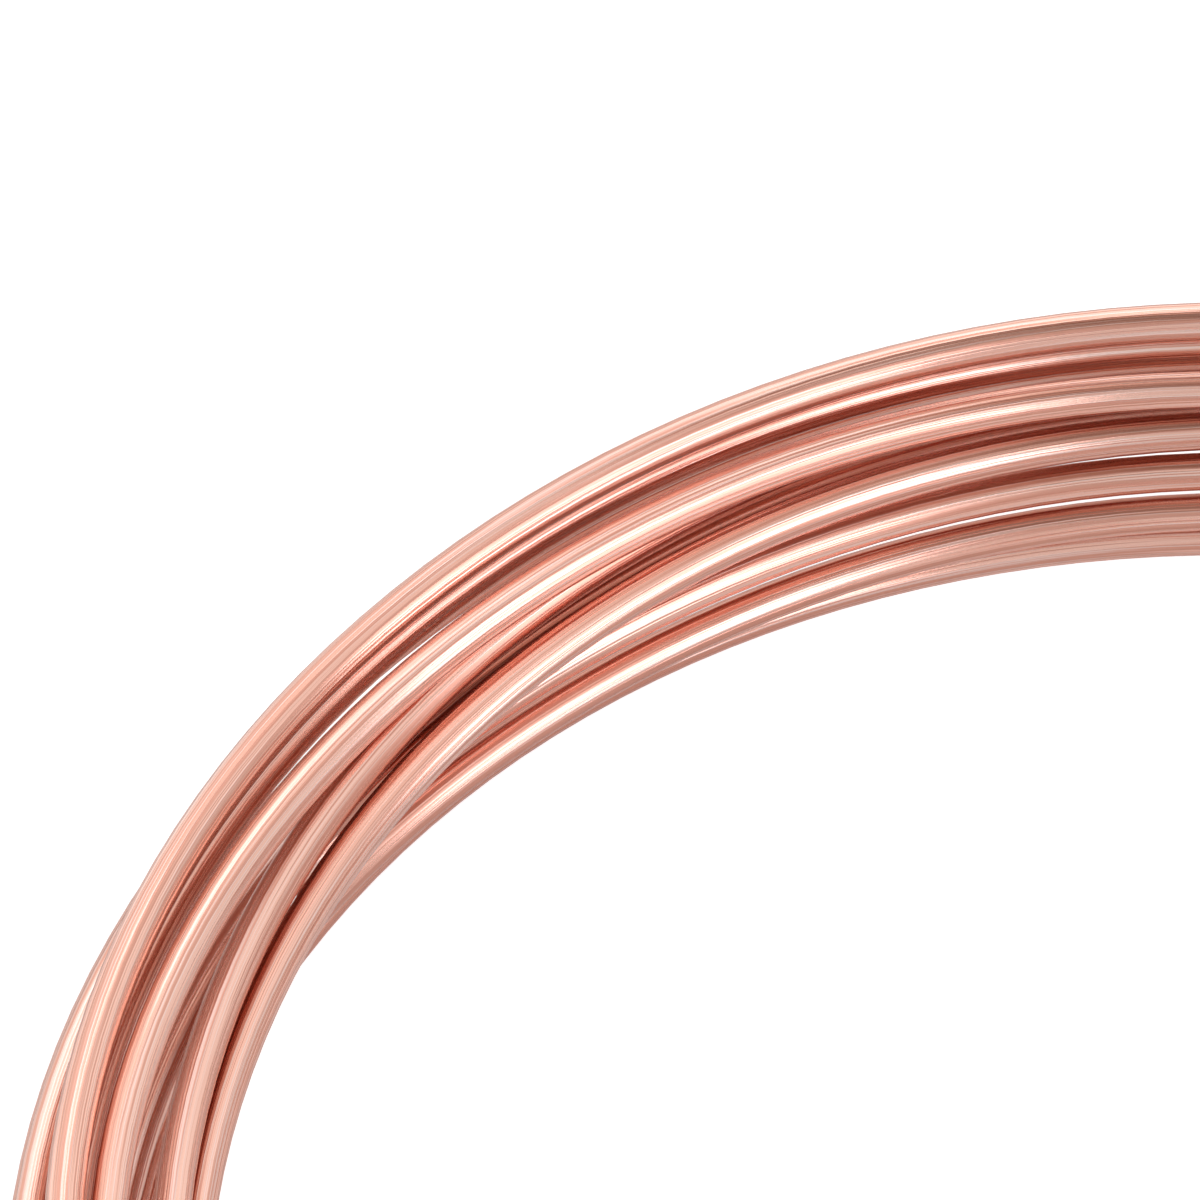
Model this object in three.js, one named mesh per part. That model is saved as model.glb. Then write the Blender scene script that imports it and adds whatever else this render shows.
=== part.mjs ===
// A coil of small soft copper tube, wound by hand and laid flat. Millimetres, +Z up.
// It is one length of stock: a single hollow tube whose bore runs from one cut end to the other.
import * as THREE from 'three';

// The tube: 1/8 in outside, 0.030 in wall.
const TUBE_DIAMETER = 3.175;
const WALL_THICKNESS = 0.762;

// From the coil's axis to the slots that are counted as 0 outwards.
const COIL_RADIUS = 95.25;

// The turns lie in the bundle in slots half a tube wide and high, with a little room between turns.
const TURN_CLEARANCE = 0.15;
const SLOT_SIZE = (TUBE_DIAMETER + TURN_CLEARANCE) / 2;

// A turn is laid by hand at three places, from the first laid angle in steps of LAID_STEP degrees.
// From its last laid place it eases over to where the next turn is first laid.
const FIRST_LAID_ANGLE = 90;
const LAID_STEP = 45;
const STEPS_BETWEEN_TURNS = 6;

// The slot of each turn at its three laid places, in winding order: [slots outwards from
// COIL_RADIUS, slots up from the ground]. Turns beside or on each other are two slots apart.
const TURN_SLOTS = [
  [[-2, 9], [-3, 11], [-1, 11]],
  [[-3, 7], [-5, 8], [-5, 6]],
  [[-5, 3], [-4, 2], [-2, 4]],
  [[-5, 1], [-3, 0], [-2, 0]],
  [[0, 5], [-3, 7], [-1, 6]],
  [[0, 7], [-3, 9], [-4, 8]],
  [[-4, 5], [-3, 4], [1, 4]],
  [[3, 6], [1, 8], [3, 8]],
  [[1, 9], [0, 10], [1, 9]],
  [[0, 12], [0, 12], [1, 12]],
];

// The two cut ends: their slots, and how many steps the tube runs from its start to the first
// laid turn and from the last laid turn to its stop.
const START_SLOT = [-4, 11];
const START_STEPS = 3;
const STOP_SLOT = [-2, 12];
const STOP_STEPS = 5;

// Facets: sides of the round section, and stations along each step.
const SECTION_SIDES = 8;
const STATIONS_PER_STEP = 4;

const UP = new THREE.Vector3(0, 0, 1);

// The middle of a slot: how far outwards from COIL_RADIUS, and how high.
function slotPlace([outwards, up]) {
  return [outwards * SLOT_SIZE, TUBE_DIAMETER / 2 + up * SLOT_SIZE];
}

// The places between two laid ones, eased so that the tube leaves and arrives along the bundle.
function easedPlaces(from, to, steps) {
  const places = [];
  for (let step = 1; step < steps; step += 1) {
    const share = (1 - Math.cos((Math.PI * step) / steps)) / 2;
    const outwards = THREE.MathUtils.lerp(from[0], to[0], share);
    const height = THREE.MathUtils.lerp(from[1], to[1], share);
    places.push([outwards, height]);
  }
  return places;
}

// Every place in the bundle that the tube passes, one for each step, from its start to its stop.
function windingPlaces() {
  const start = slotPlace(START_SLOT);
  const stop = slotPlace(STOP_SLOT);
  const places = [start];
  let previous = start;
  let steps = START_STEPS;
  for (const slots of TURN_SLOTS) {
    const laidPlaces = slots.map(slotPlace);
    places.push(...easedPlaces(previous, laidPlaces[0], steps), ...laidPlaces);
    previous = laidPlaces.at(-1);
    steps = STEPS_BETWEEN_TURNS;
  }
  places.push(...easedPlaces(previous, stop, STOP_STEPS), stop);
  return places;
}

// The centreline of the wound tube.
class Winding extends THREE.Curve {
  constructor(places) {
    super();
    this.steps = places.length - 1;
    this.bundle = new THREE.SplineCurve(places.map(([x, y]) => new THREE.Vector2(x, y)));
  }

  getPoint(t, target = new THREE.Vector3()) {
    const place = this.bundle.getPoint(t);
    const degrees = FIRST_LAID_ANGLE + (t * this.steps - START_STEPS) * LAID_STEP;
    const angle = THREE.MathUtils.degToRad(degrees);
    const radius = COIL_RADIUS + place.x;
    return target.set(radius * Math.cos(angle), radius * Math.sin(angle), place.y);
  }

  // Stations lie at equal angles, so that the facets of neighbouring turns stay side by side.
  getUtoTmapping(u) {
    return u;
  }

  // The section stays upright all the way round, so that the tube rests on flat facets.
  computeFrenetFrames(segments) {
    const frames = { tangents: [], normals: [], binormals: [] };
    for (let station = 0; station <= segments; station += 1) {
      const tangent = this.getTangentAt(station / segments);
      const normal = new THREE.Vector3().crossVectors(UP, tangent).normalize();
      frames.tangents.push(tangent);
      frames.normals.push(normal);
      frames.binormals.push(new THREE.Vector3().crossVectors(tangent, normal));
    }
    return frames;
  }
}

// A regular polygon with a flat side downwards.
function drawRing(path, diameter) {
  const halfSide = Math.PI / SECTION_SIDES;
  path.absarc(0, 0, diameter / 2, halfSide, halfSide + 2 * Math.PI);
  return path;
}

function tubeSection() {
  const section = drawRing(new THREE.Shape(), TUBE_DIAMETER);
  section.holes.push(drawRing(new THREE.Path(), TUBE_DIAMETER - 2 * WALL_THICKNESS));
  return section;
}

function woundTube() {
  const winding = new Winding(windingPlaces());
  const geometry = new THREE.ExtrudeGeometry(tubeSection(), {
    extrudePath: winding,
    steps: winding.steps * STATIONS_PER_STEP,
    curveSegments: SECTION_SIDES / 2,
  });
  const copper = new THREE.MeshStandardMaterial({ color: 0xd99a80, metalness: 1, roughness: 0.28 });
  const tube = new THREE.Mesh(geometry, copper);
  tube.name = 'tube';
  return tube;
}

// The coil stands on the ground with the origin under its middle.
function standOnOrigin(mesh) {
  const box = new THREE.Box3().setFromObject(mesh);
  const middle = box.getCenter(new THREE.Vector3());
  mesh.position.set(-middle.x, -middle.y, -box.min.z);
}

const coil = new THREE.Group();
const tube = woundTube();
standOnOrigin(tube);
coil.add(tube);

export default coil;
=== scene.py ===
"""A loose coil of bare copper tube, lying on a pale floor."""
import math

import bpy
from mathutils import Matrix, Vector


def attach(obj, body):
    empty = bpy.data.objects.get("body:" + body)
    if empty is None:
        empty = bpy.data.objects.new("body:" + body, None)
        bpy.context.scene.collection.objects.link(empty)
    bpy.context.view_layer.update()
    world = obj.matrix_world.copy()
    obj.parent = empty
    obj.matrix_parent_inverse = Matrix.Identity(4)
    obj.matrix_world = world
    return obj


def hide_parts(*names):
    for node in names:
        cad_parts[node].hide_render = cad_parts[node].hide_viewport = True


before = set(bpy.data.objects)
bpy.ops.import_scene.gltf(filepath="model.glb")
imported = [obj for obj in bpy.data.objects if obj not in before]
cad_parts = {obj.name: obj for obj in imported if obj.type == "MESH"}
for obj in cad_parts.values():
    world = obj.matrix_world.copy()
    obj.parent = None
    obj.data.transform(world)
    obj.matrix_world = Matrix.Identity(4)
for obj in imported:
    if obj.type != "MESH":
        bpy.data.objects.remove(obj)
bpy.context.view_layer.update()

# The tube and the coil, in metres.
TUBE_DIAMETER = 0.003175
WALL_THICKNESS = 0.000762
COIL_RADIUS = 0.09525
OUTER_RADIUS = TUBE_DIAMETER / 2
BORE_RADIUS = OUTER_RADIUS - WALL_THICKNESS

# The turns lie in slots half a tube wide and high, with a little room between turns.
TURN_CLEARANCE = 0.00015
SLOT_SIZE = (TUBE_DIAMETER + TURN_CLEARANCE) / 2

# Each turn is laid at three angles, and eases over to the next turn's place on the way round.
FIRST_LAID_ANGLE = 90
LAID_STEP = 45
STEPS_BETWEEN_TURNS = 6

# The slot of each turn at its three laid places, in winding order: [slots outwards from
# COIL_RADIUS, slots up from the ground]. Turns beside or on each other are two slots apart.
TURN_SLOTS = [
    [[-2, 9], [-3, 11], [-1, 11]],
    [[-3, 7], [-5, 8], [-5, 6]],
    [[-5, 3], [-4, 2], [-2, 4]],
    [[-5, 1], [-3, 0], [-2, 0]],
    [[0, 5], [-3, 7], [-1, 6]],
    [[0, 7], [-3, 9], [-4, 8]],
    [[-4, 5], [-3, 4], [1, 4]],
    [[3, 6], [1, 8], [3, 8]],
    [[1, 9], [0, 10], [1, 9]],
    [[0, 12], [0, 12], [1, 12]],
]
START_SLOT = [-4, 11]
START_STEPS = 3
STOP_SLOT = [-2, 12]
STOP_STEPS = 5

# The mesh: stations along each step, and points round the outside and round the bore.
STATIONS_PER_STEP = 20
OUTER_POINTS = 32
BORE_POINTS = 16
CUT_CHAMFER = 0.00008
SHARP_ANGLE = math.radians(30)

# Marks on the copper: their width across the tube and length along it in metres, and how
# much finer detail they hold. Then how deep they are, in metres.
DRAWING_LINES = (0.00017, 0.05, 2)
STREAKS = (0.0006, 0.09, 2)
PATCHES = (0.02, 0.045, 1)
GRAIN = (0.00012, 0.0002, 1)
DRAWING_LINE_DEPTH = 0.000042
STREAK_DEPTH = 0.00012
GRAIN_DEPTH = 0.000003

# The copper's colours, as linear light. It is painted darker where turns meet: the last colour is
# painted shade, laid where other surfaces lie within the reach.
BRIGHT_COPPER = (0.97, 0.59, 0.48)
DULL_COPPER = (0.59, 0.24, 0.16)
PALE_COPPER = (0.97, 0.79, 0.73)
PAINTED_SHADE_COPPER = (0.52, 0.14, 0.07)
PAINTED_SHADE_REACH = 0.0025
PAINTED_SHADE_SAMPLES = 4

# Ramps, as (low, high, begin, end): low to high in a mark's noise becomes begin to end. The
# first four are shares of a colour, and the last two are roughness.
DULL_STREAKS = (0.49, 0.55, 0, 0.6)
DARK_LINES = (0.36, 0.45, 0.7, 0)
PALE_LINES = (0.54, 0.62, 0, 0.6)
# Painted shade: how much of the dark crevice colour is laid, from enclosed copper to open copper.
PAINTED_SHADE_RAMP = (0.15, 0.6, 0.9, 0)
ROUGH_STREAKS = (0.35, 0.65, 0.14, 0.26)
ROUGH_PATCHES = (0.4, 0.7, 0, 0.10)

# A quarter turn stretches the highlights across the drawing lines.
ANISOTROPY = 0.6
ANISOTROPIC_TURN = 0.25

# The floor glows for the camera, and a little for what the copper reflects.
WHITE = (1, 1, 1)
FLOOR_COLOUR = (0.66, 0.66, 0.66)
FLOOR_ROUGHNESS = 0.9
FLOOR_HALF_WIDTH = 3
FLOOR_GLOW = 0.75
FLOOR_GLOW_IN_METAL = 0.14

# The studio round the coil: ramps of its strength by how near a direction is to the bright
# side, and of the share of it and the colour that are left by how high a direction points.
BRIGHT_SIDE = (-0.42, 0.91, 0)
SIDE_STRENGTH = (-0.6, 0.8, 0.68, 1.22)
OVERHEAD_SHARE = (0.89, 0.97, 1, 0.28)
OVERHEAD_WARMTH = (0.80, 0.97, 0, 1)
OVERHEAD_COLOUR = (1, 0.75, 0.65)

# The softboxes: place and size in metres, and power in watts.
KEY_SOFTBOX = ((1.15, -0.78, 0.56), (1.4, 1.3), 13)
BACK_SOFTBOX = ((-0.16, 0.98, 1.12), (0.6, 0.25), 0.5)
LAMP_COLOUR = (0.96, 0.92, 1.0)

# The camera looks down on the coil's far left quarter, from beyond its near side. The frame's
# width is measured at LOOK_AT, in metres, and the sensor's in millimetres.
LOOK_AT = Vector((-0.05336, 0.07788, 0.00560))
CAMERA_DISTANCE = 1.5875
CAMERA_ELEVATION = math.radians(51)
CAMERA_CLIP = (0.1, 20)
FRAME_WIDTH = 0.10025
SENSOR_WIDTH = 36


def slot_place(slot):
    """The middle of a slot: how far outwards from COIL_RADIUS, and how high."""
    outwards, up = slot
    return [outwards * SLOT_SIZE, OUTER_RADIUS + up * SLOT_SIZE]


def eased_places(begin, end, steps):
    """The places between two laid ones."""
    places = []
    for step in range(1, steps):
        share = (1 - math.cos(math.pi * step / steps)) / 2
        places.append([a + (b - a) * share for a, b in zip(begin, end)])
    return places


def winding_places():
    """Every place in the bundle that the tube passes, one for each step."""
    start = slot_place(START_SLOT)
    stop = slot_place(STOP_SLOT)
    places = [start]
    previous = start
    steps = START_STEPS
    for slots in TURN_SLOTS:
        laid_places = [slot_place(slot) for slot in slots]
        places += eased_places(previous, laid_places[0], steps) + laid_places
        previous = laid_places[-1]
        steps = STEPS_BETWEEN_TURNS
    return places + eased_places(previous, stop, STOP_STEPS) + [stop]


def spline(before, begin, end, after, share):
    """A point of the uniform Catmull-Rom spline between begin and end."""
    linear = end - before
    square = 2 * before - 5 * begin + 4 * end - after
    cube = 3 * begin - before - 3 * end + after
    return 0.5 * (2 * begin + linear * share + square * share**2 + cube * share**3)


def centreline():
    """The tube's centre at each station, round an upright axis through the origin."""
    places = [Vector(place) for place in winding_places()]
    last = len(places) - 1
    points = []
    for station in range(last * STATIONS_PER_STEP + 1):
        step = min(station // STATIONS_PER_STEP, last - 1)
        share = station / STATIONS_PER_STEP - step
        around = [places[min(last, max(0, step + k))] for k in (-1, 0, 1, 2)]
        place = spline(*around, share)
        angle = math.radians(FIRST_LAID_ANGLE + (step + share - START_STEPS) * LAID_STEP)
        radius = COIL_RADIUS + place.x
        points.append(Vector((radius * math.cos(angle), radius * math.sin(angle), place.y)))
    return points


def directions(points):
    """The direction of the tube at each station."""
    ahead = points[1:] + points[-1:]
    behind = points[:1] + points[:-1]
    return [(a - b).normalized() for a, b in zip(ahead, behind)]


class SweptWalls:
    """Collects rings of points along the tube, with the place of each point on the tube."""

    def __init__(self):
        self.vertices = []
        self.places = []
        self.faces = []

    def ring(self, centre, direction, radius, count, along):
        """A circle of points across the tube, counted from its top; returns their numbers."""
        across = Vector((0, 0, 1)).cross(direction).normalized()
        upright = direction.cross(across)
        first = len(self.vertices)
        for k in range(count):
            turn = 2 * math.pi * k / count
            spot = Vector((radius * math.cos(turn), radius * math.sin(turn)))
            self.vertices.append(centre + spot.x * upright + spot.y * across)
            self.places.append((spot.x, spot.y, along))
        return list(range(first, first + count))

    def join(self, ring, following):
        """Faces between two rings of as many points."""
        for k in range(len(ring)):
            after = (k + 1) % len(ring)
            self.faces.append((ring[k], following[k], following[after], ring[after]))

    def cap(self, outer, bore, forwards):
        """The flat cut face between the outer ring and the bore, which has half as many points."""
        facing = -1 if forwards else 1
        for k in range(len(bore)):
            after = (k + 1) % len(bore)
            middle = 2 * k + 1
            corner = (2 * k + 2) % len(outer)
            self.faces.append((outer[2 * k], outer[middle], bore[k])[::facing])
            self.faces.append((outer[middle], outer[corner], bore[after], bore[k])[::facing])

    def cut_end(self, centre, direction, outer, bore, forwards):
        """A square cut end beyond the last rings, its two edges just broken."""
        step = CUT_CHAMFER if forwards else -CUT_CHAMFER
        lip = centre + step * direction
        along = self.places[outer[0]][2] + step
        lip_outer = self.ring(lip, direction, OUTER_RADIUS - CUT_CHAMFER, OUTER_POINTS, along)
        lip_bore = self.ring(lip, direction, BORE_RADIUS + CUT_CHAMFER, BORE_POINTS, along)
        if forwards:
            self.join(outer, lip_outer)
            self.join(lip_bore, bore)
        else:
            self.join(lip_outer, outer)
            self.join(bore, lip_bore)
        self.cap(lip_outer, lip_bore, forwards)


def swept_tube():
    """The walls of the whole tube, outside and in the bore, with both cut ends."""
    centres = centreline()
    tangents = directions(centres)
    walls = SweptWalls()
    outer_rings = []
    bore_rings = []
    along = 0
    for k, centre in enumerate(centres):
        if k:
            along += (centre - centres[k - 1]).length
        outer_rings.append(walls.ring(centre, tangents[k], OUTER_RADIUS, OUTER_POINTS, along))
        bore_rings.append(walls.ring(centre, tangents[k], BORE_RADIUS, BORE_POINTS, along))
    for k in range(len(centres) - 1):
        walls.join(outer_rings[k], outer_rings[k + 1])
        walls.join(bore_rings[k + 1], bore_rings[k])
    for end, forwards in ((0, False), (-1, True)):
        walls.cut_end(centres[end], tangents[end], outer_rings[end], bore_rings[end], forwards)
    return walls


def stand_on_origin(points):
    """Moves points so that the origin is on the ground under the middle of the coil."""
    low = Vector([min(axis) for axis in zip(*points)])
    high = Vector([max(axis) for axis in zip(*points)])
    foot = (low + high) / 2
    foot.z = low.z
    return [point - foot for point in points]


def make_tube():
    """The tube as one mesh, which keeps each point's place on the tube for the marks."""
    walls = swept_tube()
    mesh = bpy.data.meshes.new("copper_tube")
    mesh.from_pydata(stand_on_origin(walls.vertices), [], walls.faces)
    place = mesh.attributes.new("tube_place", "FLOAT_VECTOR", "POINT")
    place.data.foreach_set("vector", [number for spot in walls.places for number in spot])
    mesh.shade_smooth()
    mesh.set_sharp_from_angle(angle=SHARP_ANGLE)
    tube = bpy.data.objects.new("copper_tube", mesh)
    bpy.context.scene.collection.objects.link(tube)
    return tube


def new_node(tree, kind, **settings):
    """A new node with its settings."""
    node = tree.nodes.new(kind)
    for name, value in settings.items():
        setattr(node, name, value)
    return node


def stretched_noise(tree, place, marks):
    """Noise whose features have the width and length of the marks."""
    across, along, detail = marks
    scaled = new_node(tree, "ShaderNodeVectorMath", operation="MULTIPLY")
    scaled.inputs[1].default_value = (1 / across, 1 / across, 1 / along)
    tree.links.new(place, scaled.inputs[0])
    noise = new_node(tree, "ShaderNodeTexNoise")
    noise.inputs["Scale"].default_value = 1
    noise.inputs["Detail"].default_value = detail
    tree.links.new(scaled.outputs[0], noise.inputs["Vector"])
    return noise.outputs["Fac"]


def mapped(tree, value, ramp):
    """The value taken along a ramp, and held at the ramp's ends beyond them."""
    node = new_node(tree, "ShaderNodeMapRange")
    for name, number in zip(("From Min", "From Max", "To Min", "To Max"), ramp):
        node.inputs[name].default_value = number
    tree.links.new(value, node.inputs["Value"])
    return node.outputs["Result"]


def combined(tree, operation, first, second):
    """Two values put together by the operation; each is a number or a socket."""
    node = new_node(tree, "ShaderNodeMath", operation=operation)
    for socket, value in zip(node.inputs, (first, second)):
        if isinstance(value, (int, float)):
            socket.default_value = value
        else:
            tree.links.new(value, socket)
    return node.outputs[0]


def mixed(tree, share, first, second):
    """A colour between two, by share; each is a colour or a socket."""
    node = new_node(tree, "ShaderNodeMix", data_type="RGBA")
    tree.links.new(share, node.inputs["Factor"])
    # The Mix node has a socket for each kind of value; these are the ones for colours.
    for socket, colour in ((node.inputs[6], first), (node.inputs[7], second)):
        if isinstance(colour, tuple):
            socket.default_value = (*colour, 1)
        else:
            tree.links.new(colour, socket)
    return node.outputs[2]


def copper_colour(tree, lines, streaks):
    """Bright copper with duller streaks, dark and pale lines, and painted shade where turns meet.
    """
    dull = mapped(tree, streaks, DULL_STREAKS)
    dark = mapped(tree, lines, DARK_LINES)
    colour = mixed(tree, combined(tree, "MAXIMUM", dull, dark), BRIGHT_COPPER, DULL_COPPER)
    colour = mixed(tree, mapped(tree, lines, PALE_LINES), colour, PALE_COPPER)
    # Painted shade: the copper is darkened towards the crevice colour where other surfaces close
    # in.
    open_air = new_node(tree, "ShaderNodeAmbientOcclusion", samples=PAINTED_SHADE_SAMPLES)
    open_air.inputs["Distance"].default_value = PAINTED_SHADE_REACH
    painted_shade = mapped(tree, open_air.outputs["AO"], PAINTED_SHADE_RAMP)
    return mixed(tree, painted_shade, colour, PAINTED_SHADE_COPPER)


def raised(tree, reliefs):
    """The surface's direction under fine relief, from pairs of a noise and its depth."""
    normal = None
    for relief, depth in reliefs:
        bump = new_node(tree, "ShaderNodeBump")
        bump.inputs["Distance"].default_value = depth
        tree.links.new(relief, bump.inputs["Height"])
        if normal:
            tree.links.new(normal, bump.inputs["Normal"])
        normal = bump.outputs[0]
    return normal


def copper():
    """Bare drawn copper, with its marks running along the tube."""
    material = bpy.data.materials.new("copper")
    material.use_nodes = True
    tree = material.node_tree
    shader = tree.nodes["Principled BSDF"]
    place = new_node(tree, "ShaderNodeAttribute", attribute_name="tube_place").outputs["Vector"]
    lines = stretched_noise(tree, place, DRAWING_LINES)
    streaks = stretched_noise(tree, place, STREAKS)
    patches = stretched_noise(tree, place, PATCHES)
    grain = stretched_noise(tree, place, GRAIN)

    tree.links.new(copper_colour(tree, lines, streaks), shader.inputs["Base Color"])
    drawn = mapped(tree, streaks, ROUGH_STREAKS)
    worn = mapped(tree, patches, ROUGH_PATCHES)
    tree.links.new(combined(tree, "ADD", drawn, worn), shader.inputs["Roughness"])
    reliefs = ((grain, GRAIN_DEPTH), (lines, DRAWING_LINE_DEPTH), (streaks, STREAK_DEPTH))
    tree.links.new(raised(tree, reliefs), shader.inputs["Normal"])

    shader.inputs["Metallic"].default_value = 1
    shader.inputs["Anisotropic"].default_value = ANISOTROPY
    shader.inputs["Anisotropic Rotation"].default_value = ANISOTROPIC_TURN
    tangent = new_node(tree, "ShaderNodeTangent", direction_type="RADIAL", axis="Z")
    tree.links.new(tangent.outputs[0], shader.inputs["Tangent"])
    return material


def make_floor():
    """A plain pale floor, white to the camera."""
    mesh = bpy.data.meshes.new("floor")
    size = FLOOR_HALF_WIDTH
    corners = [(-size, -size, 0), (size, -size, 0), (size, size, 0), (-size, size, 0)]
    mesh.from_pydata(corners, [], [(0, 1, 2, 3)])
    floor = bpy.data.objects.new("floor", mesh)
    bpy.context.scene.collection.objects.link(floor)
    material = bpy.data.materials.new("floor")
    material.use_nodes = True
    tree = material.node_tree
    shader = tree.nodes["Principled BSDF"]
    shader.inputs["Base Color"].default_value = (*FLOOR_COLOUR, 1)
    shader.inputs["Roughness"].default_value = FLOOR_ROUGHNESS
    shader.inputs["Emission Color"].default_value = (*WHITE, 1)
    light_path = new_node(tree, "ShaderNodeLightPath").outputs
    seen = combined(tree, "MULTIPLY", light_path["Is Camera Ray"], FLOOR_GLOW)
    reflected = combined(tree, "MULTIPLY", light_path["Is Glossy Ray"], FLOOR_GLOW_IN_METAL)
    tree.links.new(combined(tree, "ADD", seen, reflected), shader.inputs["Emission Strength"])
    mesh.materials.append(material)


def make_world():
    """A plain studio, brightest at the back and left, and dim and warm overhead."""
    world = bpy.data.worlds.new("studio")
    bpy.context.scene.world = world
    world.use_nodes = True
    tree = world.node_tree
    background = tree.nodes["Background"]
    direction = new_node(tree, "ShaderNodeTexCoord").outputs["Generated"]
    split = new_node(tree, "ShaderNodeSeparateXYZ")
    tree.links.new(direction, split.inputs[0])
    height = split.outputs["Z"]
    towards = new_node(tree, "ShaderNodeVectorMath", operation="DOT_PRODUCT")
    tree.links.new(direction, towards.inputs[0])
    towards.inputs[1].default_value = BRIGHT_SIDE
    side = mapped(tree, towards.outputs["Value"], SIDE_STRENGTH)
    strength = combined(tree, "MULTIPLY", side, mapped(tree, height, OVERHEAD_SHARE))
    tree.links.new(strength, background.inputs["Strength"])
    colour = mixed(tree, mapped(tree, height, OVERHEAD_WARMTH), WHITE, OVERHEAD_COLOUR)
    tree.links.new(colour, background.inputs["Color"])


def make_lamp(name, place, size, power):
    """A softbox that faces the coil."""
    light = bpy.data.lights.new(name, "AREA")
    light.shape = "RECTANGLE"
    light.size, light.size_y = size
    light.energy = power
    light.color = LAMP_COLOUR
    lamp = bpy.data.objects.new(name, light)
    lamp.location = place
    lamp.rotation_euler = (-Vector(place)).to_track_quat("-Z", "Y").to_euler()
    bpy.context.scene.collection.objects.link(lamp)


def make_camera():
    """A long lens at the photograph's viewing angle."""
    data = bpy.data.cameras.new("camera")
    data.sensor_width = SENSOR_WIDTH
    data.lens = SENSOR_WIDTH * CAMERA_DISTANCE / FRAME_WIDTH
    data.clip_start, data.clip_end = CAMERA_CLIP
    camera = bpy.data.objects.new("camera", data)
    towards = Vector((0, -math.cos(CAMERA_ELEVATION), math.sin(CAMERA_ELEVATION)))
    camera.location = LOOK_AT + CAMERA_DISTANCE * towards
    camera.rotation_euler = (math.pi / 2 - CAMERA_ELEVATION, 0, 0)
    bpy.context.scene.collection.objects.link(camera)
    bpy.context.scene.camera = camera


bpy.context.scene.view_settings.view_transform = "Standard"
make_camera()
tube = make_tube()
tube.data.materials.append(copper())
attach(tube, "root")
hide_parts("tube")
make_floor()
make_world()
make_lamp("key_softbox", *KEY_SOFTBOX)
make_lamp("back_softbox", *BACK_SOFTBOX)
